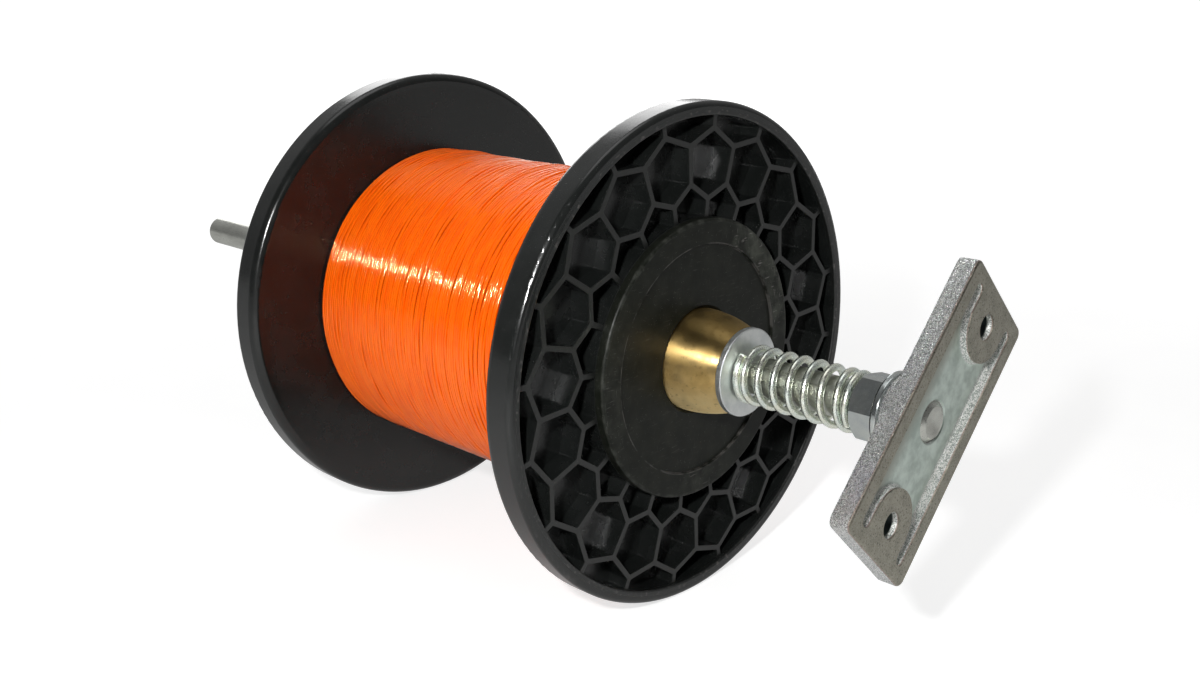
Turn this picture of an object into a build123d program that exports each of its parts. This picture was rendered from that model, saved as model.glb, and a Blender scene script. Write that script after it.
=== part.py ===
from build123d import *
import math
import os

# Fishing line winder: a bulk spool of line that turns on a rod, held between two brass cones.
# A spring on the rod pushes a washer against the front cone, so the spool runs with some drag.
# The rod stands on a cast plate that is screwed to a wall or a bench.
#
# Frame: the origin is the middle of the plate's mounting face, on the rod's axis. +X points out
# of that face, so the rod and the spool lie on the -X side. +Z is up. Millimetres.

# ---------------------------------------------------------------- clearances
running_gap = 0.05      # radial, brass on the rod and the washer on the rod
seat_gap = 0.05         # radial, between pieces pressed or screwed into each other
bore_gap = 0.10         # radial, between a cone and the hub's bore
coil_end_gap = 0.10     # between the spring's end turns and what they press on
turn_gap = 0.50         # least gap between one turn and the next, of the spring and of the line
screw_tip_gap = 0.05    # between the thumb screw's tip and the rod

# ---------------------------------------------------------------- modelling allowances
overlap = 0.01          # between two solids that become one
overcut = 1.0           # how far a cutting solid runs past what it cuts
tolerance = 1e-4        # for finding an edge by its place

# ---------------------------------------------------------------- mounting plate
plate_length = 68.0
plate_width = 31.75
plate_thickness = 4.75
plate_turn = 43.9           # of its long axis from upright, towards +Y, in degrees
plate_corner_radius = 2.2
plate_edge_radius = 0.7     # round the mounting face
screw_spacing = 50.8
screw_hole_diameter = 6.2
trough_width = 23.4
trough_depth = 1.9
trough_end_wall = 3.5       # from the end of the plate to the end of the trough
trough_floor_radius = 1.2
trough_end_rounding = 0.48  # of the trough's width beside a tongue
tongue_radius = 8.3         # the flush, round nosed ground that each screw hole stands in
boss_diameter = 18.6
boss_height = 5.6
boss_edge_radius = 0.8

# ---------------------------------------------------------------- rod and nut
rod_diameter = 9.525
rod_length = 296.5
rod_end_chamfer = 1.2
peened_proud = 0.5          # how far the rod's end stands over the trough's floor
peened_chamfer = 1.1
rod_hole_flare = 0.4        # chamfer of the rod's hole, where it meets the trough's floor
dish_diameter = 5.8         # hollow left in the peened end
dish_depth = 0.35
nut_across_flats = 14.3
nut_height = 8.8
nut_turn = 35.0             # of one of its corners from upright, towards +Y, in degrees
nut_flange_diameter = 18.9
nut_flange_edge = 1.7       # height of the flange's outer edge
nut_flange_height = 3.1     # up to where it meets the hexagon
nut_flange_radius = 0.6
nut_corner_chamfer = 0.9    # axial height of the chamfer on the hexagon's corners

# ---------------------------------------------------------------- spring and washer
spring_diameter = 15.1
spring_wire = 1.9
spring_length = 33.4        # between the washer and the nut
spring_closed_start = 1.25  # turns lying close together at the washer
spring_open_turns = 6.0
spring_closed_end = 1.0     # turns lying close together at the nut
spring_start_angle = 126.0  # of the wire's cut end at the washer, from +Y towards +Z, in degrees
washer_diameter = 22.2
washer_thickness = 1.7
washer_edge_radius = 0.3

# ---------------------------------------------------------------- brass cones
cone_diameter = 26.4
cone_nose_diameter = 20.4
cone_nose_length = 14.0     # the part that stands out of the hub
cone_seat_depth = 8.0       # the part inside the bore
cone_edge_chamfer = 0.5

# ---------------------------------------------------------------- spool
spool_width = 111.6         # between the flanges' outer rims
flange_diameter = 129.0
flange_thickness = 8.8
rim_wall = 3.5
rim_outer_radius = 1.4      # rounding of the rim, on its honeycombed side
rim_inner_radius = 2.2      # rounding of the rim, on the line's side
rim_lip_radius = 0.55       # rounding of the rim's inner edge
web_thickness = 1.7
cell_count = 20
cell_turn = 6.0             # of the first cell from upright, towards +Y, in degrees
rib_width = 1.35
rib_drop = 1.3              # from the rim's plane to the top of the ribs
outer_spoke = 3.0           # from the cells' outer corners to the rim
inner_spoke = 4.5           # from the cells' inner corners to the hub
cell_corner_height = 4.0    # radial height of a cell's pointed ends
pocket_corner_radius = 0.5
hub_disc_diameter = 72.2
hub_disc_proud = 1.2        # the hub disc stands this far out of the rim's plane
hub_edge_radius = 0.7
label_recess_diameter = 59.4
label_recess_depth = 0.7
hub_sleeve_wall = 2.4       # round the bore
hub_lip = 5.0               # radial width of the shoulder that the cone seats on
hub_lip_thickness = 2.5
hub_spigot_length = 7.0     # what enters the barrel
hub_spigot_wall = 2.0
bore_mouth_chamfer = 0.7
hub_well_wall = 1.7         # moulded walls under the hub disc
barrel_diameter = 52.0
barrel_wall = 2.2

# ---------------------------------------------------------------- line
line_diameter = 86.4        # over the outer layer
line_loops = 24
line_start_angle = -90.0    # of the outer layer's first loop, from +Y towards +Z, in degrees

# ---------------------------------------------------------------- stop collar
collar_diameter = 20.0
collar_length = 11.0
collar_chamfer = 0.7
thumb_screw_diameter = 4.8
thumb_screw_turn = 0.0      # of the screw from upright, towards +Y, in degrees
thumb_head_diameter = 10.0
thumb_head_length = 6.0
thumb_neck_length = 2.0     # bare screw between the collar and the head
thumb_head_chamfer = 0.6
thumb_flutes = 16
thumb_flute_radius = 0.7

# ---------------------------------------------------------------- places worked out from these
rod_radius = rod_diameter / 2
boss_end = -plate_thickness - boss_height
nut_end = boss_end - nut_height
washer_front = nut_end - spring_length
washer_back = washer_front - washer_thickness
hub_face = washer_back - cone_nose_length
rim_plane = hub_face - hub_disc_proud + label_recess_depth
spool_middle = rim_plane - spool_width / 2
line_side = rim_plane - flange_thickness
rib_plane = rim_plane - rib_drop
pocket_floor = line_side + web_thickness
cone_seat = hub_face - cone_seat_depth
rear_cone_end = 2 * spool_middle - washer_back
collar_end = rear_cone_end - collar_length

flange_radius = flange_diameter / 2
rim_bore_radius = flange_radius - rim_wall
hub_disc_radius = hub_disc_diameter / 2
barrel_radius = barrel_diameter / 2
barrel_bore_radius = barrel_radius - barrel_wall
hub_bore_radius = cone_diameter / 2 + bore_gap
outer_corner = rim_bore_radius - outer_spoke
inner_corner = hub_disc_radius + inner_spoke

mount_plane = Plane(
    origin=(0, 0, 0),
    x_dir=(0, math.sin(math.radians(plate_turn)), math.cos(math.radians(plate_turn))),
    z_dir=(1, 0, 0),
)


# ---------------------------------------------------------------- helpers
def turned(outline):
    """Solid turned about the rod's axis, from a closed outline of lines in (x, radius)."""
    return revolve(make_face(outline), Axis.X)


def tube(x_start, x_end, outer_radius, inner_radius):
    """Plain ring about the rod's axis."""
    corners = [
        (x_start, inner_radius),
        (x_start, outer_radius),
        (x_end, outer_radius),
        (x_end, inner_radius),
    ]
    return turned(Polyline(*corners, close=True))


def disc(x_start, x_end, radius):
    """Plain cylinder about the rod's axis."""
    return tube(x_start, x_end, radius, 0)


def close(a, b):
    """True if the two sizes are the same, within the tolerance."""
    return abs(a - b) < tolerance


def circles_at(shape, x, radius):
    """The circular edges of that radius in the plane at x."""
    edges = shape.edges().filter_by(GeomType.CIRCLE)
    return [e for e in edges if close(e.radius, radius) and close(e.center().X, x)]


def turned_round(shape):
    """The same moulding at the other end of the spool, turned round to face the other way."""
    return Pos(2 * spool_middle, 0, 0) * Rot(0, 0, 180) * shape


def polar(radius, angle):
    """Point at that radius, by its angle in degrees from upright towards +Y: (y, z)."""
    return (radius * math.sin(math.radians(angle)), radius * math.cos(math.radians(angle)))


def biarc(start, start_way, end, end_way):
    """Two arcs that join, smoothly, two points at which the directions are given."""
    chord = end - start
    both = start_way + end_way
    a = 2 * (1 - start_way.dot(end_way))
    b = 2 * chord.dot(both)
    reach = (-b + math.sqrt(b * b + 4 * a * chord.dot(chord))) / (2 * a)
    first_corner = start + start_way * reach
    second_corner = end - end_way * reach
    middle = (first_corner + second_corner) * 0.5
    middle_way = (second_corner - first_corner).normalized()
    return [
        TangentArc(start, middle, tangent=start_way),
        TangentArc(middle, end, tangent=middle_way),
    ]


def wound_tube(radius, tube_diameter, travel, turns, start_angle):
    """One unbroken tube wound about the rod's axis, in biarcs of a quarter turn.

    travel(t) is the x of the tube's middle after t turns. Each end runs straight for one
    tube diameter, across the axis. Also gives the least gap between one turn and another."""
    steps = round(turns * 4)

    def place(step):
        angle = math.radians(start_angle + 90 * step)
        return Vector(travel(step / 4), radius * math.cos(angle), radius * math.sin(angle))

    def way(step):
        angle = math.radians(start_angle + 90 * step)
        climb = 0 if step in (0, steps) else travel((step + 0.5) / 4) - travel((step - 0.5) / 4)
        along = radius * math.pi / 4
        return Vector(climb, -along * math.sin(angle), along * math.cos(angle)).normalized()

    start, end = place(0), place(steps)
    edges = [Line(start - way(0) * tube_diameter, start)]
    for step in range(steps):
        edges += biarc(place(step), way(step), place(step + 1), way(step + 1))
    edges.append(Line(end, end + way(steps) * tube_diameter))

    points = [edge @ share for edge in edges[1:-1] for share in (0.0, 0.25, 0.5, 0.75)]
    half_turn = len(points) // (2 * round(turns))
    gap = min(
        (points[i] - points[j]).length
        for i in range(len(points))
        for j in range(i + half_turn, len(points))
    )
    section = Plane(origin=edges[0] @ 0, z_dir=way(0)) * Circle(tube_diameter / 2)
    return sweep(section, path=Wire(edges)), gap - tube_diameter


# ---------------------------------------------------------------- mounting plate, rod and nut
def make_mounting_plate():
    """Cast plate: trough and two tongues in its mounting face, boss on its back."""
    outline = mount_plane * RectangleRounded(plate_length, plate_width, plate_corner_radius)
    plate = extrude(outline, -plate_thickness)
    plate = fillet(plate.faces().sort_by(Axis.X)[-1].edges(), plate_edge_radius)

    boss = disc(boss_end, -plate_thickness + overlap, boss_diameter / 2)
    boss = fillet(circles_at(boss, boss_end, boss_diameter / 2), boss_edge_radius)

    trough_half = plate_length / 2 - trough_end_wall
    slot_width = trough_width / 2 - tongue_radius
    tongue_run = trough_half - screw_spacing / 2
    floor = Rectangle(2 * trough_half, trough_width)
    for side in (-1, 1):
        floor -= Pos(side * screw_spacing / 2, 0) * Circle(tongue_radius)
        root = Pos(side * (screw_spacing / 2 + tongue_run), 0)
        floor -= root * Rectangle(2 * tongue_run, 2 * tongue_radius)
    ends = [v for v in floor.vertices() if close(abs(v.X), trough_half)]
    floor = fillet(ends, trough_end_rounding * slot_width)
    trough = extrude(mount_plane * floor, -trough_depth)
    trough = fillet(trough.faces().sort_by(Axis.X)[0].edges(), trough_floor_radius)

    screw_hole = Cylinder(screw_hole_diameter / 2, 2 * (plate_thickness + overcut))
    holes = [mount_plane * Pos(side * screw_spacing / 2, 0) * screw_hole for side in (-1, 1)]
    rod_hole = disc(boss_end - overcut, overcut, rod_radius + seat_gap)
    plate = plate + boss - trough - holes - rod_hole
    return chamfer(circles_at(plate, -trough_depth, rod_radius + seat_gap), rod_hole_flare)


def make_axle_rod():
    """Rod with a peened, dished end in the plate's trough and a chamfered far end."""
    head = -trough_depth + peened_proud
    rod = disc(head - rod_length, head, rod_radius)
    rod = chamfer(circles_at(rod, head - rod_length, rod_radius), rod_end_chamfer)
    rod = chamfer(circles_at(rod, head, rod_radius), peened_chamfer)
    half = dish_diameter / 2
    ball_radius = (half**2 + dish_depth**2) / (2 * dish_depth)
    return rod - Pos(head - dish_depth + ball_radius, 0, 0) * Sphere(ball_radius)


def make_flange_nut():
    """Hexagon nut with a round flange that bears on the plate's boss."""
    corner_radius = nut_across_flats / math.sqrt(3)
    bore = rod_radius + seat_gap
    corners = [polar(corner_radius, nut_turn + 60 * k) for k in range(6)]
    hexagon = make_face(Polyline(*[(0, y, z) for y, z in corners], close=True))
    hexagon = Pos(boss_end - nut_flange_edge, 0, 0) * hexagon
    hexagon = extrude(hexagon, nut_height - nut_flange_edge, dir=(-1, 0, 0))
    chamfer_outline = [
        (boss_end, 0),
        (boss_end, corner_radius + overcut),
        (nut_end + nut_corner_chamfer, corner_radius + overlap),
        (nut_end, nut_across_flats / 2),
        (nut_end, 0),
    ]
    hexagon &= turned(Polyline(*chamfer_outline, close=True))

    flange_outline = [
        (boss_end, 0),
        (boss_end, nut_flange_diameter / 2),
        (boss_end - nut_flange_edge, nut_flange_diameter / 2),
        (boss_end - nut_flange_height, nut_across_flats / 2),
        (boss_end - nut_flange_height, 0),
    ]
    skirt = turned(Polyline(*flange_outline, close=True))
    edge = nut_flange_diameter / 2
    rounded = circles_at(skirt, boss_end, edge) + circles_at(skirt, boss_end - nut_flange_edge, edge)
    skirt = fillet(rounded, nut_flange_radius)
    return hexagon + skirt - disc(nut_end - overcut, boss_end + overcut, bore)


# ---------------------------------------------------------------- spring and washer
def make_tension_spring():
    """Compression spring: close turns at both ends, open between them."""
    close_pitch = spring_wire + turn_gap
    first = washer_front + coil_end_gap + spring_wire / 2
    last = nut_end - coil_end_gap - spring_wire / 2
    close_length = close_pitch * (spring_closed_start + spring_closed_end)
    open_pitch = (last - first - close_length) / spring_open_turns

    def travel(turns):
        opened = min(max(turns - spring_closed_start, 0), spring_open_turns)
        return first + close_pitch * (turns - opened) + open_pitch * opened

    turns = spring_closed_start + spring_open_turns + spring_closed_end
    radius = (spring_diameter - spring_wire) / 2
    spring, gap = wound_tube(radius, spring_wire, travel, turns, spring_start_angle)
    print(f"tension_spring: {turns} turns, open pitch {open_pitch:.2f}, least gap {gap:.2f} mm")
    return spring


def make_thrust_washer():
    """Flat punched washer, its edges a little rounded."""
    radius = washer_diameter / 2
    washer = tube(washer_back, washer_front, radius, rod_radius + running_gap)
    edges = circles_at(washer, washer_back, radius) + circles_at(washer, washer_front, radius)
    return fillet(edges, washer_edge_radius)


# ---------------------------------------------------------------- brass cone
def make_front_cone():
    """Brass cone: a bulging nose, and a straight seat that enters the hub's bore."""
    bore = rod_radius + running_gap
    nose = cone_nose_diameter / 2
    land = cone_diameter / 2
    drop = land - nose
    bulge = (cone_nose_length**2 + drop**2) / (2 * drop)
    outline = Polyline(
        (hub_face, land),
        (cone_seat + cone_edge_chamfer, land),
        (cone_seat, land - cone_edge_chamfer),
        (cone_seat, bore),
        (washer_back, bore),
        (washer_back, nose),
    )
    nose_curve = RadiusArc((washer_back, nose), (hub_face, land), -bulge)
    cone = turned([outline, nose_curve])
    return chamfer(circles_at(cone, washer_back, nose), cone_edge_chamfer)


# ---------------------------------------------------------------- spool
def pocket_outlines():
    """One hexagon pocket and the two cut ones beside it, towards the rim and the hub."""
    pitch = 360 / cell_count
    half = pitch / 2
    outer_wall = outer_corner - cell_corner_height
    inner_wall = inner_corner + cell_corner_height
    past_rim = flange_radius
    inside_hub = hub_disc_radius - inner_spoke

    def cell(corners):
        points = [polar(radius, cell_turn + angle) for radius, angle in corners]
        face = make_face(Polyline(*points, close=True))
        return offset(face, -rib_width / 2, kind=Kind.INTERSECTION)

    hexagon = cell([
        (outer_corner, 0),
        (outer_wall, half),
        (inner_wall, half),
        (inner_corner, 0),
        (inner_wall, -half),
        (outer_wall, -half),
    ])
    by_rim = cell([
        (outer_corner, 0),
        (outer_wall, half),
        (outer_corner, pitch),
        (past_rim, pitch),
        (past_rim, 0),
    ])
    by_hub = cell([
        (inner_corner, 0),
        (inner_wall, half),
        (inner_corner, pitch),
        (inside_hub, pitch),
        (inside_hub, 0),
    ])
    outlines = [hexagon, by_rim & Circle(rim_bore_radius), by_hub - Circle(hub_disc_radius)]
    return [fillet(outline.vertices(), pocket_corner_radius) for outline in outlines]


def make_front_flange():
    """Moulded flange: smooth towards the line, honeycombed on its outer face."""
    socket = barrel_radius + seat_gap
    outline = [
        (line_side, socket),
        (line_side, flange_radius),
        (rim_plane, flange_radius),
        (rim_plane, rim_bore_radius),
        (rib_plane, rim_bore_radius),
        (rib_plane, socket),
    ]
    flange = turned(Polyline(*outline, close=True))
    flange = fillet(circles_at(flange, line_side, flange_radius), rim_inner_radius)
    rim_edges = circles_at(flange, rim_plane, flange_radius)
    flange = fillet(rim_edges, rim_outer_radius)
    flange = fillet(circles_at(flange, rim_plane, rim_bore_radius), rim_lip_radius)

    sketch_plane = Plane(origin=(pocket_floor, 0, 0), x_dir=(0, 1, 0), z_dir=(1, 0, 0))
    depth = rim_plane - pocket_floor
    prisms = [extrude(sketch_plane * outline, depth) for outline in pocket_outlines()]
    pockets = [
        Rot(360 * k / cell_count, 0, 0) * prism for k in range(cell_count) for prism in prisms
    ]
    well = tube(
        pocket_floor,
        rim_plane,
        hub_disc_radius - hub_well_wall,
        barrel_radius + hub_well_wall,
    )
    return flange - pockets - well


def make_front_hub():
    """Hub disc with the cone's bore, a spigot in the barrel and a label's empty recess."""
    face = rim_plane + hub_disc_proud
    back = rib_plane
    sleeve = hub_bore_radius + hub_sleeve_wall
    lip_bore = hub_bore_radius - hub_lip
    hub = disc(back, face, hub_disc_radius)
    hub = fillet(circles_at(hub, face, hub_disc_radius), hub_edge_radius)
    hub -= disc(hub_face, face + overcut, label_recess_diameter / 2)
    hub += disc(cone_seat - hub_lip_thickness, hub_face, sleeve)
    spigot = barrel_bore_radius - seat_gap
    hub += tube(back - hub_spigot_length, back, spigot, spigot - hub_spigot_wall)
    hub -= disc(cone_seat, face + overcut, hub_bore_radius)
    hub -= disc(cone_seat - hub_lip_thickness - overcut, face + overcut, lip_bore)
    return chamfer(circles_at(hub, hub_face, hub_bore_radius), bore_mouth_chamfer)


def make_spool_barrel():
    """Tube between the two hub discs, through both flanges."""
    rear_rib_plane = 2 * spool_middle - rib_plane
    return tube(rear_rib_plane, rib_plane, barrel_radius, barrel_bore_radius)


# ---------------------------------------------------------------- line
line_width = 2 * (line_side - spool_middle)
line_pitch = (line_width - turn_gap) / (line_loops + 1)
line_tube = line_pitch - turn_gap


def make_line_core():
    """The inner layers of line, as one plain ring between the flanges."""
    rear_line_side = 2 * spool_middle - line_side
    radius = line_diameter / 2 - line_tube - seat_gap
    return tube(rear_line_side, line_side, radius, barrel_radius + seat_gap)


def make_line_turns():
    """The outer layer of line, wound from the rear flange to the front one and unbroken."""
    first = 2 * spool_middle - line_side + turn_gap + line_tube / 2

    def travel(turns):
        return first + line_pitch * turns

    radius = (line_diameter - line_tube) / 2
    turns, gap = wound_tube(radius, line_tube, travel, line_loops, line_start_angle)
    print(f"line_turns: {line_loops} loops of {line_tube:.2f} mm, least gap {gap:.2f} mm")
    return turns


# ---------------------------------------------------------------- stop collar and its screw
def thumb_screw_place():
    """Frame of the thumb screw: its z runs out of the collar along the screw."""
    y, z = polar(1, thumb_screw_turn)
    return Plane(origin=(rear_cone_end - collar_length / 2, 0, 0), x_dir=(1, 0, 0), z_dir=(0, y, z))


def make_stop_collar():
    """Collar on the rod behind the rear cone, with a tapped hole."""
    radius = collar_diameter / 2
    collar = tube(collar_end, rear_cone_end, radius, rod_radius + running_gap)
    edges = circles_at(collar, collar_end, radius) + circles_at(collar, rear_cone_end, radius)
    collar = chamfer(edges, collar_chamfer)
    hole = thumb_screw_place() * Circle(thumb_screw_diameter / 2 + seat_gap)
    return collar - extrude(hole, radius + overcut)


def make_thumb_screw():
    """Thumb screw with a fluted head, its tip on the rod."""
    place = thumb_screw_place()
    tip = rod_radius + screw_tip_gap
    head = collar_diameter / 2 + thumb_neck_length
    screw = extrude(place.offset(tip) * Circle(thumb_screw_diameter / 2), head - tip)
    knob = extrude(place.offset(head) * Circle(thumb_head_diameter / 2), thumb_head_length)
    rims = knob.edges().filter_by(GeomType.CIRCLE)
    knob = chamfer(rims, thumb_head_chamfer)
    flute = extrude(
        place.offset(head - overcut) * Pos(thumb_head_diameter / 2, 0) * Circle(thumb_flute_radius),
        thumb_head_length + 2 * overcut,
    )
    spin = Axis(place.origin, place.z_dir)
    flutes = [flute.rotate(spin, 360 * k / thumb_flutes) for k in range(thumb_flutes)]
    return screw + (knob - flutes)


# ---------------------------------------------------------------- all the pieces
front_cone = make_front_cone()
front_flange = make_front_flange()
front_hub = make_front_hub()

pieces = {
    "mounting_plate": make_mounting_plate(),
    "axle_rod": make_axle_rod(),
    "flange_nut": make_flange_nut(),
    "tension_spring": make_tension_spring(),
    "thrust_washer": make_thrust_washer(),
    "front_cone": front_cone,
    "front_flange": front_flange,
    "front_hub": front_hub,
    "spool_barrel": make_spool_barrel(),
    "line_core": make_line_core(),
    "line_turns": make_line_turns(),
    "rear_hub": turned_round(front_hub),
    "rear_flange": turned_round(front_flange),
    "rear_cone": turned_round(front_cone),
    "stop_collar": make_stop_collar(),
    "thumb_screw": make_thumb_screw(),
}

os.makedirs("parts", exist_ok=True)
for name, shape in pieces.items():
    export_step(shape, f"parts/{name}.step")
print(f"{len(pieces)} nodes written; the rod ends at x = {-trough_depth + peened_proud - rod_length:.1f}")
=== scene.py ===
# %% [markdown]
# # Fishing line winder
# A bulk spool of orange line turns on a steel rod between two brass cones, and a spring on the rod
# gives it drag. The solids come ready made from the CAD model, at their real size. This lesson
# gives them their finishes, winds the fine line, coils the spring, and sets up floor, lamps and
# camera. Everything is in metres, +Z is up, and the rod's axis is the X axis.

# %% Load the CAD model
import math

import bpy
import numpy as np
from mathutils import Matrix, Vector


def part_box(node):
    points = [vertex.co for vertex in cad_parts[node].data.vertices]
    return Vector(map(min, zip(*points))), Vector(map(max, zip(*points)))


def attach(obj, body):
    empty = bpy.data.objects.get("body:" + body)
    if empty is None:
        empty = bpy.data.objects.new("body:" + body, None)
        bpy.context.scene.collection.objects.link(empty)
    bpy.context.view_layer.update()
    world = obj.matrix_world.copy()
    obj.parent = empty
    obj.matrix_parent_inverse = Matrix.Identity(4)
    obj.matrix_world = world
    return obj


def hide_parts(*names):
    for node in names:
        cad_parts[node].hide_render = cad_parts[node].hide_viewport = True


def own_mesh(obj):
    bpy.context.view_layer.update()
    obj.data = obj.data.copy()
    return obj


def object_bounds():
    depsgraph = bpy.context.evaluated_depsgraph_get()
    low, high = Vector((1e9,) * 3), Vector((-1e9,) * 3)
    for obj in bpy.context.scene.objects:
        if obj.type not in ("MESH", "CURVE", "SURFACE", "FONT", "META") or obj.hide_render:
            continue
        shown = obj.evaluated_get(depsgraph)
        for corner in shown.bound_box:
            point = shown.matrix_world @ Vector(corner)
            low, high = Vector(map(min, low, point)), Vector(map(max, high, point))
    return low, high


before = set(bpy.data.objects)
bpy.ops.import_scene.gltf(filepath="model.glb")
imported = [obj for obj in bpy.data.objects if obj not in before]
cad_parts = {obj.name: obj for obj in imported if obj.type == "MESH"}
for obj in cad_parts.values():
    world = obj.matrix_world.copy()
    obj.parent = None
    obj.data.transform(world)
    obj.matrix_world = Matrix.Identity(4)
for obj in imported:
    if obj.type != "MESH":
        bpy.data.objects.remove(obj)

MM = 0.001
cad_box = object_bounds()
print("CAD box in mm:", [[round(c / MM, 1) for c in corner] for corner in cad_box])

# %% [markdown]
# ## Camera
# The photograph looks down at the winder from the plate's side, from quite near, so the front
# flange looms and the rear one shrinks. A lens on the real object's distance gives that same
# perspective; moving back with a longer lens would flatten it. The numbers come from fitting
# both flange rims, which are circles of one known size.

# %% Camera
camera_place = Vector((0.1332, -0.2455, 0.0995))
camera_way = Vector((-0.66488, 0.69086, -0.28399)).normalized()
lens = bpy.data.cameras.new("camera")
lens.sensor_width = 36
lens.lens = 39.38
lens.clip_start, lens.clip_end = 0.01, 50
camera = bpy.data.objects.new("camera", lens)
camera.location = camera_place
camera.rotation_mode = "QUATERNION"
camera.rotation_quaternion = camera_way.to_track_quat("-Z", "Y")
bpy.context.scene.collection.objects.link(camera)
bpy.context.scene.camera = camera
bpy.context.scene.view_settings.view_transform = "Standard"
print("camera to plate:", round(camera_place.length / MM), "mm")

# %% [markdown]
# ## A small kit for finishes
# Every finish here is a Principled shader fed by a few procedural textures. Writing each node out
# by hand would bury the idea, so this class gives short words for the nodes that come again and
# again: noise, cells, a soft step, a colour blend and a bump. All lengths in it are millimetres
# on the object, so a 0.4 mm grain is written as 0.4.

# %% Kit for finishes
class Finish:
    """One material, and short words for the nodes that paint it. Lengths are in millimetres."""

    def __init__(self, name, **values):
        self.material = bpy.data.materials.new(name)
        self.material.use_nodes = True
        self.nodes = self.material.node_tree.nodes
        self.wires = self.material.node_tree.links
        self.shader = self.nodes["Principled BSDF"]
        for socket, value in values.items():
            self.shader.inputs[socket.replace("_", " ")].default_value = value
        self.place = self.vector("SCALE", self.node("ShaderNodeTexCoord").outputs["Object"], 1 / MM)
        self.x, self.y, self.z = self.node("ShaderNodeSeparateXYZ", self.place).outputs

    def node(self, kind, *inputs, **settings):
        made = self.nodes.new(kind)
        for key, value in settings.items():
            setattr(made, key, value)
        for socket, value in zip(made.inputs, inputs):
            self.feed(socket, value)
        return made

    def feed(self, socket, value):
        if isinstance(value, bpy.types.NodeSocket):
            self.wires.new(value, socket)
        elif value is not None:
            socket.default_value = value

    def give(self, name, value):
        self.feed(self.shader.inputs[name], value)

    def vector(self, way, a, b):
        made = self.node("ShaderNodeVectorMath", a, operation=way)
        self.feed(made.inputs["Scale"] if way == "SCALE" else made.inputs[1], b)
        return made.outputs[0]

    def calc(self, way, *values):
        return self.node("ShaderNodeMath", *values, operation=way).outputs[0]

    def times(self, a, b):
        return self.calc("MULTIPLY", a, b)

    def plus(self, a, b):
        return self.calc("ADD", a, b)

    def length(self, a, b):
        return self.calc("SQRT", self.plus(self.calc("POWER", a, 2.0), self.calc("POWER", b, 2.0)))

    def soft(self, value, low, high, to_low=0.0, to_high=1.0):
        """Smooth step from to_low, where value is low, to to_high, where it is high."""
        step = self.node("ShaderNodeMapRange", value, low, high, to_low, to_high)
        step.interpolation_type = "SMOOTHSTEP"
        return step.outputs[0]

    def within(self, value, middle, half, edge):
        """1 where value is within half of middle, and 0 beyond a soft edge."""
        far = self.calc("ABSOLUTE", self.calc("SUBTRACT", value, middle))
        return self.soft(far, half, half + edge, 1.0, 0.0)

    def grain(self, size, detail=3.0, stretch=(1, 1, 1), shift=0.0, rough=0.55):
        """Noise whose blobs are about size across, or size times stretch along each axis."""
        ways = [1 / (size * s) for s in stretch]
        spot = self.node("ShaderNodeMapping", self.place, (shift, shift, shift), (0, 0, 0), ways)
        return self.node("ShaderNodeTexNoise", spot.outputs[0], None, 1.0, detail, rough).outputs[0]

    def crystals(self, size, feature="F1"):
        """Cells about size across: each one's random colour, and the distance to its middle."""
        spot = self.vector("SCALE", self.place, 1 / size)
        made = self.node("ShaderNodeTexVoronoi", spot, feature=feature)
        return made.outputs["Color"], made.outputs["Distance"]

    def blend(self, share, a, b, way="MIX"):
        made = self.node("ShaderNodeMix", data_type="RGBA", blend_type=way)
        for number, value in ((0, share), (6, a), (7, b)):
            self.feed(made.inputs[number], value if number == 0 else colour(value))
        return made.outputs[2]

    def bump(self, height, depth, under=None, strength=1.0):
        """Raises the surface by depth where height is 1."""
        made = self.node("ShaderNodeBump")
        self.feed(made.inputs["Strength"], strength)
        made.inputs["Distance"].default_value = depth * MM
        self.feed(made.inputs["Height"], height)
        self.feed(made.inputs["Normal"], under)
        self.give("Normal", made.outputs[0])
        return made.outputs[0]

    def polar(self):
        """Distance from the rod's axis, and the angle from upright towards +Y in degrees."""
        away = self.length(self.y, self.z)
        angle = self.calc("DEGREES", self.calc("ARCTAN2", self.y, self.z))
        return away, angle


def colour(value):
    return (*value, 1.0) if isinstance(value, tuple) and len(value) == 3 else value


def wear(finish, *node_names):
    """Puts the finish on those CAD nodes."""
    for name in node_names:
        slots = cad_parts[name].data.materials
        slots.clear()
        slots.append(finish.material)
    print(f"{finish.material.name}: {', '.join(node_names)}")


# %% [markdown]
# ## Floor
# The winder was shot on a white sheet, and a pale floor takes its soft shadow. A floor that is
# truly white would also show in the glossy line and turn its orange pink. So the floor is a mid
# grey, with a glow on top that the camera sees in full and reflections see only in part.

# %% Floor
floor_level = cad_box[0].z
bpy.ops.mesh.primitive_plane_add(size=12, location=(-0.1, 0, floor_level))
floor = bpy.context.object
floor.name = "floor"
paper = Finish("white_paper", Roughness=0.9, Specular_IOR_Level=0.1)
sheet = paper.blend(paper.soft(paper.grain(40), 0.3, 0.7), (0.46, 0.46, 0.46), (0.48, 0.48, 0.475))
paper.give("Base Color", sheet)
glow = paper.node("ShaderNodeEmission", (1, 1, 1, 1))
away = paper.length(paper.x, paper.y)
rays = paper.node("ShaderNodeLightPath").outputs
seen = paper.calc("MAXIMUM", rays["Is Camera Ray"], rays["Is Transmission Ray"])
seen = paper.calc("MAXIMUM", seen, paper.times(rays["Is Glossy Ray"], 0.30))
paper.feed(glow.inputs["Strength"], paper.times(paper.soft(away, 150.0, 800.0, 0.72, 0.95), seen))
both = paper.node("ShaderNodeAddShader", paper.shader.outputs[0], glow.outputs[0])
paper.feed(paper.nodes["Material Output"].inputs["Surface"], both.outputs[0])
floor.data.materials.append(paper.material)
print("floor at", round(floor_level / MM, 1), "mm")

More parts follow.
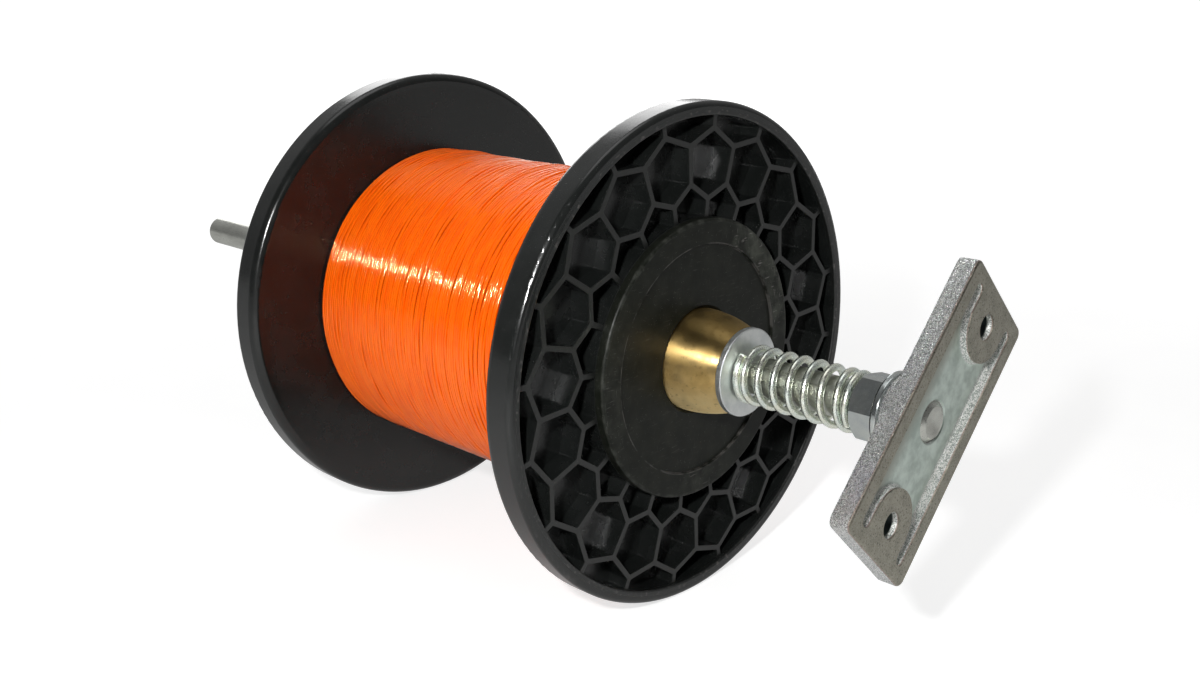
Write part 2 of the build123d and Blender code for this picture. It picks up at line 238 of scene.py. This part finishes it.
# %% [markdown]
# ## Daylight
# Bare metal shows its surroundings, and in a world of one grey it would look like clay. What the
# metal mirrors here is a room: bright behind the object and dim behind the camera. A picture of a
# real room would do it too, but one smooth step along one direction is enough and needs no file.

# %% Daylight
sky = bpy.data.worlds.new("daylight")
bpy.context.scene.world = sky
sky.use_nodes = True
tree = sky.node_tree
tree.nodes.clear()
sky_way = tree.nodes.new("ShaderNodeTexCoord").outputs["Generated"]
behind = tree.nodes.new("ShaderNodeVectorMath")
behind.operation = "DOT_PRODUCT"
tree.links.new(sky_way, behind.inputs[0])
behind.inputs[1].default_value = (-0.66, 0.69, 0.25)
mirrored = tree.nodes.new("ShaderNodeMapRange")
mirrored.interpolation_type = "SMOOTHSTEP"
for number, value in ((1, -0.15), (2, 0.75), (3, 0.09), (4, 0.36)):
    mirrored.inputs[number].default_value = value
tree.links.new(behind.outputs["Value"], mirrored.inputs[0])
path = tree.nodes.new("ShaderNodeLightPath").outputs


def world_light(strength):
    made = tree.nodes.new("ShaderNodeBackground")
    made.inputs["Color"].default_value = (1, 1, 1, 1)
    if isinstance(strength, bpy.types.NodeSocket):
        tree.links.new(strength, made.inputs["Strength"])
    else:
        made.inputs["Strength"].default_value = strength
    return made.outputs[0]


def world_choice(ray, otherwise, light):
    made = tree.nodes.new("ShaderNodeMixShader")
    for number, source in ((0, ray), (1, otherwise), (2, light)):
        tree.links.new(source, made.inputs[number])
    return made.outputs[0]


lit = world_choice(path["Is Glossy Ray"], world_light(0.20), world_light(mirrored.outputs[0]))
lit = world_choice(path["Is Transmission Ray"], lit, world_light(1.0))
lit = world_choice(path["Is Camera Ray"], lit, world_light(1.0))
tree.links.new(lit, tree.nodes.new("ShaderNodeOutputWorld").inputs["Surface"])
print("daylight level 0.20")

# %% [markdown]
# ## Lamps
# The lamp stood close to the lens, to its left and above it. Its place comes from where the bright
# band lies on the winding. It is small, so that the band breaks into sparks, and it shines back
# out of the flange's cells, whose floors and walls meet at a right angle like a reflector's. Two
# wide, weak lamps above and behind lift the edges.

# %% Lamps
def soft_lamp(name, place, aim, across, power):
    lamp = bpy.data.lights.new(name, "AREA")
    lamp.shape = "DISK"
    lamp.size = across
    lamp.energy = power
    made = bpy.data.objects.new(name, lamp)
    made.location = place
    made.rotation_mode = "QUATERNION"
    made.rotation_quaternion = (Vector(aim) - Vector(place)).to_track_quat("-Z", "Y")
    bpy.context.scene.collection.objects.link(made)
    level = power / (math.pi * math.pi * (across / 2) ** 2)
    print(f"{name}: {power} W, {across / MM:.0f} mm across, brightness {level:.1f}")


lens_right = camera_way.cross(Vector((0, 0, 1))).normalized()
lens_up = lens_right.cross(camera_way)
key_place = camera_place - 0.060 * lens_right + 0.052 * lens_up
soft_lamp("key_lamp", key_place, (-0.09, 0, 0), 0.022, 1.2)
soft_lamp("top_lamp", (-0.25, 0.1, 1.3), (-0.12, 0, 0), 0.9, 2.0)
soft_lamp("back_lamp", (-1.2, 0.8, 0.55), (-0.12, 0, 0), 0.9, 5.0)

# %% [markdown]
# ## Where on the plate
# The plate is one solid, but its surfaces were made in different ways. Giving each face its own
# material would need the mesh cut up. Instead the finish asks where it is: the place is turned to
# lie along the plate, and its depth, and how far it is across and along, pick out ground face,
# trough, wall and screw holes. Each mask is 1 on its own surface and fades at the edge.

# %% Where on the plate
PLATE_TURN = math.radians(43.9)
TROUGH_SIDE, TROUGH_END, TROUGH_DEPTH = 11.9, 33.2, 1.9
HOLE_PLACE, HOLE_RADIUS, HOLE_LIT = 25.4, 3.1, 1.5
plate = Finish("cast_zinc", Metallic=1.0)
turn = plate.node("ShaderNodeMapping", plate.place, (0, 0, 0), (PLATE_TURN, 0, 0), (1, 1, 1)).outputs[0]
deep, across, along = plate.node("ShaderNodeSeparateXYZ", turn).outputs
on_face = plate.soft(deep, -0.45, -0.12)
below_face = plate.calc("SUBTRACT", 1.0, on_face)
inside = plate.within(across, 0.0, TROUGH_SIDE, 0.35)
inside = plate.times(inside, plate.within(along, 0.0, TROUGH_END, 0.3))
inside = plate.times(inside, plate.soft(deep, -TROUGH_DEPTH - 0.4, -TROUGH_DEPTH - 0.2))
in_trough = plate.times(inside, below_face)
beside = plate.soft(plate.calc("ABSOLUTE", across), TROUGH_SIDE - 2.6, TROUGH_SIDE - 1.3)
raised = plate.soft(deep, -TROUGH_DEPTH + 0.05, -TROUGH_DEPTH + 0.45)
wall = plate.times(in_trough, plate.calc("MAXIMUM", raised, beside))
up_plate = plate.calc("SUBTRACT", plate.calc("ABSOLUTE", along), HOLE_PLACE)
hole = plate.soft(plate.length(across, up_plate), HOLE_RADIUS + 0.1, HOLE_RADIUS + 0.3, 1.0, 0.0)
smooth_floor = plate.calc("MAXIMUM", plate.calc("SUBTRACT", in_trough, wall), hole)
skin_shown = plate.calc("SUBTRACT", 1.0, smooth_floor)
print("plate masks: ground face, trough, wall and holes", HOLE_RADIUS, "mm in radius")

# %% [markdown]
# ## Colours of the cast plate
# The plate is a small iron casting, zinc plated. Its sides keep the skin of the casting, coarse
# bright crystals. Its flat face was ground, so it is darker, browner and finer. The trough's floor
# is smooth and blue-green. Two shadows are painted, since the soft surroundings fill them in: one
# on the floor beside the wall, and one deep in the screw holes. A thin copper line shows where
# grinding wore through the plating at the edge.

# %% Cast plate
patchy = plate.grain(3.5, 4)
fine = plate.grain(0.30, 2)
pits = plate.grain(0.55, 4)
tones, facets = plate.crystals(1.0)
tone = plate.node("ShaderNodeSeparateXYZ", tones).outputs[0]
skin = plate.blend(plate.soft(tone, 0.1, 0.9), (0.40, 0.42, 0.41), (1.0, 1.0, 0.99))
skin = plate.blend(plate.soft(pits, 0.52, 0.66), skin, (0.92, 0.93, 0.93))
trough = plate.blend(plate.soft(patchy, 0.3, 0.7), (0.50, 0.58, 0.53), (0.74, 0.83, 0.77))
# Painted shadow of the left wall, darker on the trough floor towards that wall, with a patchy edge.
painted_wall_shadow = plate.times(plate.soft(across, -4.0, -10.0), plate.soft(patchy, 0.2, 0.6, 0.4, 0.9))
trough = plate.blend(painted_wall_shadow, trough, (0.33, 0.32, 0.27))
ground = plate.blend(plate.soft(patchy, 0.3, 0.7), (0.29, 0.28, 0.225), (0.39, 0.37, 0.305))
ground = plate.blend(plate.soft(fine, 0.56, 0.68), ground, (0.48, 0.47, 0.42))
ground = plate.blend(plate.soft(pits, 0.44, 0.34), ground, (0.14, 0.13, 0.11))
bright = plate.blend(plate.soft(tone, 0.2, 0.7), (0.42, 0.46, 0.43), (1.0, 1.0, 0.98))
shade = plate.blend(skin_shown, trough, skin)
shade = plate.blend(wall, shade, bright)
unlit = plate.times(hole, plate.soft(deep, -HOLE_LIT, -HOLE_LIT - 0.4))
shade = plate.blend(unlit, shade, (0.04, 0.05, 0.05))
worn_edge = plate.within(deep, -0.32, 0.10, 0.10)
shade = plate.blend(plate.times(worn_edge, 0.7), shade, (0.45, 0.26, 0.20))
plate.give("Base Color", plate.blend(on_face, shade, ground))
wear(plate, "mounting_plate")

# %% [markdown]
# ## Grain of the cast plate
# Colour alone would look printed. The crystals and pits are also a bump, strong on the casting's
# skin and almost nothing on the ground face and the smooth floor. The floor and the walls are a
# little rougher, so that they take the lamp evenly instead of in points.

# %% Grain of the plate
rugged = plate.times(below_face, skin_shown)
rough = plate.plus(plate.times(fine, 0.2), plate.soft(rugged, 0.0, 1.0, 0.26, 0.18))
rough = plate.plus(rough, plate.times(wall, 0.20))
plate.give("Roughness", plate.plus(rough, plate.times(smooth_floor, 0.08)))
calm = plate.plus(0.12, plate.times(rugged, 0.88))
calm = plate.times(calm, plate.soft(wall, 0.0, 1.0, 1.0, 0.85))
coarse = plate.bump(facets, 0.38, strength=calm)
plate.bump(pits, 0.16, under=coarse, strength=calm)
print("plate bump: crystals 0.38 mm, pits 0.16 mm")

# %% [markdown]
# ## Rod
# The rod is plain drawn steel: grey, with faint streaks along it and darker stains. Drawing pulls
# the metal one way, so the same noise as elsewhere is stretched forty times along the rod.

# %% Drawn steel rod
rod = Finish("drawn_steel", Metallic=1.0)
streak = rod.grain(0.35, 3, (40, 1, 1))
stain = rod.grain(6.0, 4, (2, 1, 1))
rod.give("Base Color", rod.blend(rod.soft(stain, 0.35, 0.7), (0.66, 0.67, 0.62), (0.48, 0.48, 0.44)))
rod.give("Roughness", rod.soft(streak, 0.3, 0.7, 0.26, 0.40))
rod.bump(streak, 0.012)
wear(rod, "axle_rod")

# %% [markdown]
# ## Nut
# The nut is bright zinc, smooth and almost a mirror. A perfect mirror looks like a render, since
# real flats are never quite flat, so a slow wave bends what it shows and fine tool marks blur it.

# %% Bright nut
nut = Finish("bright_zinc", Metallic=1.0)
wave = nut.grain(4.0, 2)
tool = nut.grain(0.25, 3, (1, 1, 1))
nut.give("Base Color", nut.blend(nut.soft(wave, 0.3, 0.7), (0.51, 0.55, 0.55), (0.59, 0.62, 0.60)))
nut.give("Roughness", nut.soft(tool, 0.3, 0.7, 0.13, 0.24))
nut.bump(tool, 0.010, under=nut.bump(wave, 0.12))
wear(nut, "flange_nut")

# %% [markdown]
# ## Washer
# The washer was stamped and tumbled, so its faces are matt. Its rim was torn by the punch rather
# than cut, and is rough along the rod. Distance from the axis tells the rim from the faces.

# %% Stamped washer
washer = Finish("matt_zinc", Metallic=1.0)
from_axis, round_angle = washer.polar()
WASHER_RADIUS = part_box("thrust_washer")[1].z / MM
edge = washer.soft(from_axis, WASHER_RADIUS - 0.25, WASHER_RADIUS - 0.05)
speck = washer.grain(0.35, 4)
cloud = washer.grain(3.0, 3)
torn = washer.grain(0.30, 2, (4, 1, 1))
plating = washer.blend(washer.soft(cloud, 0.3, 0.7), (0.66, 0.69, 0.69), (0.80, 0.82, 0.81))
washer.give("Base Color", plating)
washer.give("Roughness", washer.soft(speck, 0.3, 0.7, 0.34, 0.50))
flat = washer.bump(speck, 0.035)
washer.bump(torn, 0.16, under=flat, strength=edge)
wear(washer, "thrust_washer")

# %% [markdown]
# ## Brass cones
# The cones are turned brass that has dulled with handling: satin, gold-brown, with fine rings
# from the lathe and soft darker stains. The rings run round the rod's axis, so they are a noise
# that changes only along X. A deep bump for rings so fine looks hammered, so theirs is slight, and
# anisotropy round the axis draws out the lamp's streak. Light alone left top and underside too
# alike, so the top gets a painted shade and the underside a painted light. That is a choice,
# not something seen to be tarnish, and it turns with the cone.

# %% Turned brass
brass = Finish("turned_brass", Metallic=1.0, Anisotropic=0.85, Anisotropic_Rotation=0.25)
rings = brass.grain(0.5, 3, (1, 400, 400))
stain = brass.grain(5.0, 5)
brass_stains_and_painted_light = brass.blend(brass.soft(stain, 0.35, 0.72), (0.84, 0.60, 0.25), (0.62, 0.42, 0.15))
# Painted shade on the top and painted light on the underside, set by height.
brass_stains_and_painted_light = brass.blend(brass.soft(brass.z, 1.0, 9.0, 0.0, 0.8), brass_stains_and_painted_light, (0.41, 0.28, 0.10))
brass_stains_and_painted_light = brass.blend(brass.soft(brass.z, -1.0, -8.0, 0.0, 0.9), brass_stains_and_painted_light, (1.0, 0.80, 0.42))
spots = brass.soft(brass.grain(1.2, 5), 0.56, 0.72, 0.0, 0.5)
brass.give("Base Color", brass.blend(spots, brass_stains_and_painted_light, (0.34, 0.22, 0.08)))
satin = brass.plus(brass.soft(stain, 0.35, 0.65, 0.34, 0.52), brass.soft(brass.z, 0.0, -8.0, 0.0, 0.14))
brass.give("Roughness", satin)
brass.bump(rings, 0.02)
round_rod = brass.node("ShaderNodeTangent", direction_type="RADIAL", axis="X")
brass.give("Tangent", round_rod.outputs[0])
wear(brass, "front_cone", "rear_cone")

# %% [markdown]
# ## Black mouldings
# Flanges and hub are one black plastic, but the mould gave each surface its own polish. The
# cells' floors and walls are glossy, so they throw the lamp back; the tops of the ribs are rubbed
# and dusty; the rim is satin. The hub's disc is matt and scuffed, with pale scratches at its
# edge. Painting these on needs no picture: distance from the spool's middle tells top from floor,
# and distance from the axis finds the rim and the edge of the disc. This cell is the flanges.

# %% Flange plastic
SPOOL_MIDDLE, RIB_TOP = -124.55, 54.5


def black_plastic(name, base, dusty, shine):
    made = Finish(name, Specular_IOR_Level=shine)
    away, angle = made.polar()
    out = made.calc("ABSOLUTE", made.calc("SUBTRACT", made.x, SPOOL_MIDDLE))
    cloud, fine = made.grain(7.0, 4), made.grain(0.5, 4)
    _, speck = made.crystals(3.1)
    dust = made.soft(speck, 0.035, 0.06, 1.0, 0.0)
    tone = made.blend(made.soft(cloud, 0.35, 0.75), base, dusty)
    return made, away, angle, out, cloud, fine, dust, tone


flange, away, angle, out, cloud, fine, dust, tone = black_plastic(
    "flange_plastic", (0.0065, 0.0075, 0.0070), (0.0100, 0.0110, 0.0105), 0.6
)
within_rim = flange.soft(away, 61.5, 60.5)
top = flange.times(flange.soft(out, RIB_TOP - 0.5, RIB_TOP - 0.1), within_rim)
rubbed = flange.blend(flange.soft(fine, 0.35, 0.65), (0.0050, 0.0058, 0.0052), (0.0110, 0.0118, 0.0108))
tone = flange.blend(flange.times(top, 0.8), tone, rubbed)
lip = flange.times(flange.within(away, 61.6, 0.5, 0.5), flange.soft(out, 55.0, 55.6))
nicks = flange.times(lip, flange.soft(flange.grain(1.0, 5), 0.55, 0.68))
tone = flange.blend(flange.times(nicks, 0.7), tone, (0.10, 0.095, 0.09))
flange.give("Base Color", flange.blend(flange.times(dust, 0.8), tone, (0.35, 0.35, 0.34)))
pocket = flange.times(flange.soft(out, RIB_TOP - 0.1, RIB_TOP - 0.5), within_rim)
gloss = flange.soft(cloud, 0.3, 0.7, 0.16, 0.22)
gloss = flange.plus(gloss, flange.times(pocket, 0.07))
gloss = flange.plus(gloss, flange.times(lip, 0.14))
gloss = flange.plus(gloss, flange.times(top, 0.20))
flange.give("Roughness", flange.plus(gloss, flange.times(nicks, 0.25)))
flange.bump(fine, 0.006, under=flange.bump(cloud, 0.05))
wear(flange, "front_flange", "rear_flange")

# %% [markdown]
# ## Hubs
# The hub's disc is the same plastic from a matt part of the mould. Its raised land is where hands
# and the bench rub it, so a pale haze and a few scratches lie there. Putting most of them to the
# right and below is a painted sheen, not wear, and it turns with the hub. Spread evenly over the
# disc they would look like dirt on the lens.

# %% Hub plastic
hub, away, angle, out, cloud, fine, dust, tone = black_plastic(
    "hub_plastic", (0.0050, 0.0060, 0.0042), (0.0085, 0.0095, 0.0070), 0.18
)
scratch = hub.soft(hub.grain(0.5, 5, (1, 7, 1)), 0.60, 0.72)
scratch = hub.calc("MAXIMUM", scratch, hub.soft(hub.grain(0.45, 5, (1, 1, 6), 3.0), 0.62, 0.74))
land = hub.within(away, 33.0, 2.6, 0.8)
right_side = hub.within(angle, 55.0, 20.0, 25.0)
low_side = hub.calc("MAXIMUM", hub.soft(angle, 150.0, 180.0), hub.soft(angle, -178.0, -160.0, 1.0, 0.0))
left_side = hub.within(angle, -90.0, 12.0, 25.0)
# The land's haze and scratches are wear; their weight to the right and below is a painted sheen.
wear_and_painted_sheen = hub.plus(hub.times(right_side, 1.0), hub.times(low_side, 0.35))
wear_and_painted_sheen = hub.plus(wear_and_painted_sheen, hub.times(left_side, 0.25))
wear_and_painted_sheen = hub.plus(hub.times(wear_and_painted_sheen, land), 0.10)
haze_and_painted_sheen = hub.times(wear_and_painted_sheen, hub.soft(hub.grain(4.5, 3), 0.30, 0.80))
tone = hub.blend(hub.times(haze_and_painted_sheen, 0.85), tone, (0.070, 0.075, 0.062))
tone = hub.blend(hub.times(hub.times(wear_and_painted_sheen, scratch), 0.8), tone, (0.20, 0.19, 0.18))
rim = hub.times(hub.within(away, 35.7, 0.45, 0.3), hub.soft(out, 56.0, 56.6))
rim = hub.times(rim, hub.soft(hub.grain(2.5, 5), 0.40, 0.70))
tone = hub.blend(hub.times(rim, 0.35), tone, (0.075, 0.078, 0.068))
ring = hub.times(hub.within(away, 29.7, 0.18, 0.15), hub.soft(hub.grain(3.0, 4), 0.40, 0.60))
tone = hub.blend(hub.times(ring, 0.5), tone, (0.11, 0.105, 0.10))
hub.give("Base Color", hub.blend(hub.times(dust, 0.8), tone, (0.50, 0.49, 0.46)))
hub.give("Roughness", hub.plus(hub.soft(cloud, 0.3, 0.7, 0.34, 0.42), hub.times(haze_and_painted_sheen, 0.15)))
hub.bump(scratch, -0.008, under=hub.bump(fine, 0.010), strength=hub.times(wear_and_painted_sheen, 0.7))
wear(hub, "front_hub", "rear_hub")

# %% [markdown]
# ## Barrel
# The barrel under the line isn't seen from outside. It still gets a plain satin black with some
# cloudiness, because the visual model can be opened up, and a bare solid would show.

# %% Barrel plastic
barrel = Finish("barrel_plastic")
cloud = barrel.grain(8.0, 4)
barrel.give("Base Color", barrel.blend(cloud, (0.012, 0.012, 0.012), (0.022, 0.022, 0.021)))
barrel.give("Roughness", barrel.soft(cloud, 0.3, 0.7, 0.35, 0.5))
barrel.bump(barrel.grain(0.5, 3), 0.01)
wear(barrel, "spool_barrel")

# %% [markdown]
# ## Stop collar and thumb screw
# Out of the photograph's view a collar holds the rear cone on the rod. It is the usual turned and
# zinc plated kind, a little duller than the nut, with faint rings from the lathe.

# %% Turned zinc
collar = Finish("turned_zinc", Metallic=1.0)
cloud = collar.grain(3.0, 4)
rings = collar.grain(0.25, 3, (1, 60, 60))
plating = collar.blend(collar.soft(cloud, 0.3, 0.7), (0.60, 0.61, 0.60), (0.72, 0.73, 0.72))
collar.give("Base Color", plating)
collar.give("Roughness", collar.soft(cloud, 0.3, 0.7, 0.24, 0.34))
collar.bump(rings, 0.012)
wear(collar, "stop_collar", "thumb_screw")

# %% [markdown]
# ## Tubes along a path
# Spring and line are both round wire along a helix, so one helper sweeps a round section along
# points. A curve with a bevel would do it too, but a mesh keeps exact control of the sides, and
# the section here always has one side facing away from the rod, which is all a helix needs.

# %% Sweep a wire
def tube_faces(rows, columns):
    """Four-sided faces of a tube, from rows of points that each go once round it."""
    row, column = np.meshgrid(np.arange(rows - 1), np.arange(columns), indexing="ij")
    this, after = row * columns, (column + 1) % columns
    return np.stack(
        [this + column, this + after, this + columns + after, this + columns + column], -1
    ).reshape(-1, 4)


def swept_wire(name, points, thick, sides, body, finish, flat=1.0, roll=0.0):
    """Mesh tube along the points, (x, y, z) in mm, round the rod's axis. Its section is thick wide
    and flat times as high, and is rolled over by that angle, which may change along the wire."""
    points = np.asarray(points, float)
    way = np.gradient(points, axis=0)
    way /= np.linalg.norm(way, axis=1, keepdims=True)
    out = points * (0, 1, 1)
    out /= np.linalg.norm(out, axis=1, keepdims=True)
    side = np.cross(way, out)
    side /= np.linalg.norm(side, axis=1, keepdims=True)
    out = np.cross(side, way)
    turn = np.linspace(0, 2 * math.pi, sides, endpoint=False)
    roll = np.broadcast_to(roll, len(points))[:, None]
    up, across = flat * np.cos(turn)[None], np.sin(turn)[None] * np.ones_like(roll)
    up, across = up * np.cos(roll) - across * np.sin(roll), up * np.sin(roll) + across * np.cos(roll)
    ring = up[..., None] * out[:, None] + across[..., None] * side[:, None]
    corners = (points[:, None] + ring * thick / 2).reshape(-1, 3) * MM
    faces = tube_faces(len(points), sides)
    ends = [list(range(sides)), list(range(len(corners) - 1, len(corners) - 1 - sides, -1))]
    mesh = bpy.data.meshes.new(name)
    mesh.from_pydata(corners.tolist(), [], faces.tolist() + ends)
    mesh.validate()
    mesh.polygons.foreach_set("use_smooth", [True] * len(faces) + [False] * len(ends))
    made = bpy.data.objects.new(name, mesh)
    bpy.context.scene.collection.objects.link(made)
    mesh.materials.append(finish.material)
    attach(made, body)
    print(f"{name}: {len(corners)} points, {thick} mm thick")
    return made


# %% [markdown]
# ## Spring
# The spring is hard wire, zinc plated, closed at both ends. It could be drawn as stacked rings,
# but the eye finds that at once: the turns must lean. So it is one helix whose pitch eases from
# tight to open and back, as a coiling machine winds it.

# %% Spring wire
spring_steel = Finish("spring_wire", Metallic=1.0)
drawn = spring_steel.grain(0.30, 3, (1, 2, 2))
tint = spring_steel.grain(3.0, 3)
plating = spring_steel.blend(spring_steel.soft(tint, 0.3, 0.7), (0.97, 0.98, 0.84), (0.88, 0.96, 0.90))
spring_steel.give("Base Color", plating)
spring_steel.give("Roughness", spring_steel.soft(drawn, 0.3, 0.7, 0.22, 0.36))
spring_steel.bump(drawn, 0.010)
print("spring wire: bright, faintly yellow and blue by turns")

# %% [markdown]
# ## Coil
# The wire's middle is worked out turn by turn. Where the coil is closed it climbs by one wire and
# a hair's gap; between, the climb is whatever fills the length from the CAD.

# %% Coil the spring
spring_low, spring_high = (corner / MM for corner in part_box("tension_spring"))
WIRE = 1.9
CLOSED_START, OPEN_TURNS, CLOSED_END = 1.25, 6.0, 1.0
CLOSE_PITCH = WIRE + 0.16
spring_radius = (spring_high.y - spring_low.y - WIRE) / 2
turns = CLOSED_START + OPEN_TURNS + CLOSED_END
count = np.linspace(0, turns, int(turns * 64))
EASE = 0.3
opening = np.clip((count - CLOSED_START + EASE / 2) / EASE, 0, 1)
opening = opening * np.clip((turns - CLOSED_END + EASE / 2 - count) / EASE, 0, 1)
opened = np.concatenate([[0], np.cumsum((opening[1:] + opening[:-1]) / 2 * np.diff(count))])
spare = spring_high.x - spring_low.x - WIRE - CLOSE_PITCH * turns
spin = np.radians(126.0) + 2 * math.pi * count
spring_points = np.stack(
    [
        spring_low.x + WIRE / 2 + CLOSE_PITCH * count + spare * opened / opened[-1],
        spring_radius * np.cos(spin),
        spring_radius * np.sin(spin),
    ],
    1,
)
spring = swept_wire("coil_spring", spring_points, WIRE, 16, "stand", spring_steel)
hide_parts("tension_spring")
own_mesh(spring)
open_gap = spare / OPEN_TURNS + CLOSE_PITCH - WIRE
print("spring turns:", turns, "gap between open turns:", round(open_gap, 2), "mm")

# %% [markdown]
# ## Colour of the line
# The line is clear orange nylon. Clear line could be made with transmission, but light would then
# have to find its way through dozens of layers, slowly and full of noise. Wound in bulk it looks
# solid, so it is an opaque deep orange with a glossy skin, whose reflections are tinted warm.

# %% Orange nylon
nylon = Finish("orange_nylon", IOR=1.85, Specular_Tint=(1.0, 0.80, 0.42, 1.0))
hue = nylon.grain(9.0, 4, (0.25, 1, 1))
fleck = nylon.grain(1.0, 3, (0.5, 3, 3))
warm = nylon.blend(nylon.soft(hue, 0.35, 0.7), (0.96, 0.135, 0.0006), (0.91, 0.105, 0.0005))
nylon.give("Base Color", nylon.blend(nylon.soft(fleck, 0.5, 0.75, 0.0, 0.5), warm, (0.98, 0.17, 0.0010)))
nylon.give("Roughness", nylon.soft(fleck, 0.3, 0.7, 0.06, 0.12))
nylon.bump(nylon.grain(2.0, 2, (0.4, 1, 1)), 0.06)
print("orange nylon: three oranges, roughness 0.06 to 0.12")

# %% [markdown]
# ## Winding
# The line was laid turn beside turn by a machine. A plain drum with stripes would never sparkle,
# because the sparkle is hundreds of tiny mirrors, one on each strand. So the outer layer is really
# wound as one strand. Its turns wander sideways and in and out, differently from turn to turn, so
# that some crowd, some part, and the bright band along them is jagged.

# %% Wind the line
line_low, line_high = (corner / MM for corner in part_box("line_core"))
outer = (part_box("line_turns")[1].z) / MM
STRAND, PITCH, SUNK = 0.80, 0.86, 0.50
SIDE_GAP, LEAST_GAP, STEPS = 0.1, 0.02, 160
rng = np.random.default_rng(7)


def wander(turn, size, slow=0.2, fast=2.6, waves=9):
    """A smooth wander of about that size, with slow to fast waves in each turn wound."""
    total = np.zeros_like(turn)
    for _ in range(waves):
        total += np.sin(2 * math.pi * (rng.uniform(slow, fast) * turn + rng.uniform()))
    return size * total / math.sqrt(waves / 2)


room = line_high.x - line_low.x - STRAND - 2 * SIDE_GAP
laid = int(room / PITCH)
count = np.arange(laid * STEPS + 1) / STEPS
start_x = line_low.x + STRAND / 2 + SIDE_GAP + (room - laid * PITCH) / 2
layer_x = start_x + PITCH * count + wander(count, 0.048)
layer_x = np.clip(layer_x, line_low.x + STRAND / 2 + LEAST_GAP, line_high.x - STRAND / 2 - LEAST_GAP)
layer_r = outer - STRAND / 2 - SUNK + wander(count, 0.03) + wander(count, 0.085, 5, 12)
spin = 2 * math.pi * count - math.pi / 2
line_points = np.stack([layer_x, layer_r * np.cos(spin), layer_r * np.sin(spin)], 1)
roll = wander(count, 0.16, 1, 9)
line = swept_wire("line_outer_layer", line_points, STRAND, 10, "spool", nylon, 0.92, roll)
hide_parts("line_turns")
wound_length = laid * 2 * math.pi * float(layer_r.mean()) * MM
print("outer layer:", laid, "turns,", round(wound_length, 1), "m of line")

# %% [markdown]
# ## Layers beneath
# Where two turns part, the layer under them shows. Winding every layer would cost millions of
# faces for a few dark slits. One ribbed drum, its ribs one pitch apart, fills them as well.

# %% Layers beneath
BED_SUNK, BED_RIB = 0.62, 0.12
bed_x = np.linspace(line_low.x, line_high.x, 400)
bed_r = outer - STRAND - BED_SUNK + BED_RIB * np.sin(2 * math.pi * bed_x / PITCH)
ring = np.linspace(0, 2 * math.pi, 120, endpoint=False)
bed_y, bed_z = bed_r[:, None] * np.cos(ring), bed_r[:, None] * np.sin(ring)
bed_corners = np.stack([np.repeat(bed_x, len(ring)), bed_y.ravel(), bed_z.ravel()], 1) * MM
bed_faces = tube_faces(len(bed_x), len(ring))
bed_mesh = bpy.data.meshes.new("line_bed")
bed_mesh.from_pydata(bed_corners.tolist(), [], bed_faces.tolist())
bed_mesh.polygons.foreach_set("use_smooth", [True] * len(bed_faces))
bed = bpy.data.objects.new("line_bed", bed_mesh)
bpy.context.scene.collection.objects.link(bed)
bed_mesh.materials.append(nylon.material)
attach(bed, "spool")
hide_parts("line_core")
print("line bed:", len(bed_faces), "faces")

# %% [markdown]
# ## Crossing strands
# A winder that runs fast now and then throws a turn across the others. Without any the winding
# looks like a screw thread. Nine short strands dive out of the layer, lean over a few turns and
# dive in again, so their ends are never seen.

# %% Strands that cross
CROSSINGS, DIVE = 9, 0.70
for number in range(CROSSINGS):
    span = rng.uniform(0.12, 0.45)
    from_x = rng.uniform(line_low.x + 6, line_high.x - 14)
    shift = rng.uniform(2.0, 7.0) * rng.choice([-1, 1])
    share = np.linspace(0, 1, int(90 * span) + 8)
    spin = 2 * math.pi * (rng.uniform() + span * share)
    rise = np.sin(math.pi * share) ** 0.25
    r = outer - STRAND / 2 - DIVE - 0.05 + DIVE * rise
    x = from_x + shift * share
    points = np.stack([x, r * np.cos(spin), r * np.sin(spin)], 1)
    swept_wire(f"line_crossing_{number + 1}", points, STRAND * 0.9, 8, "spool", nylon)
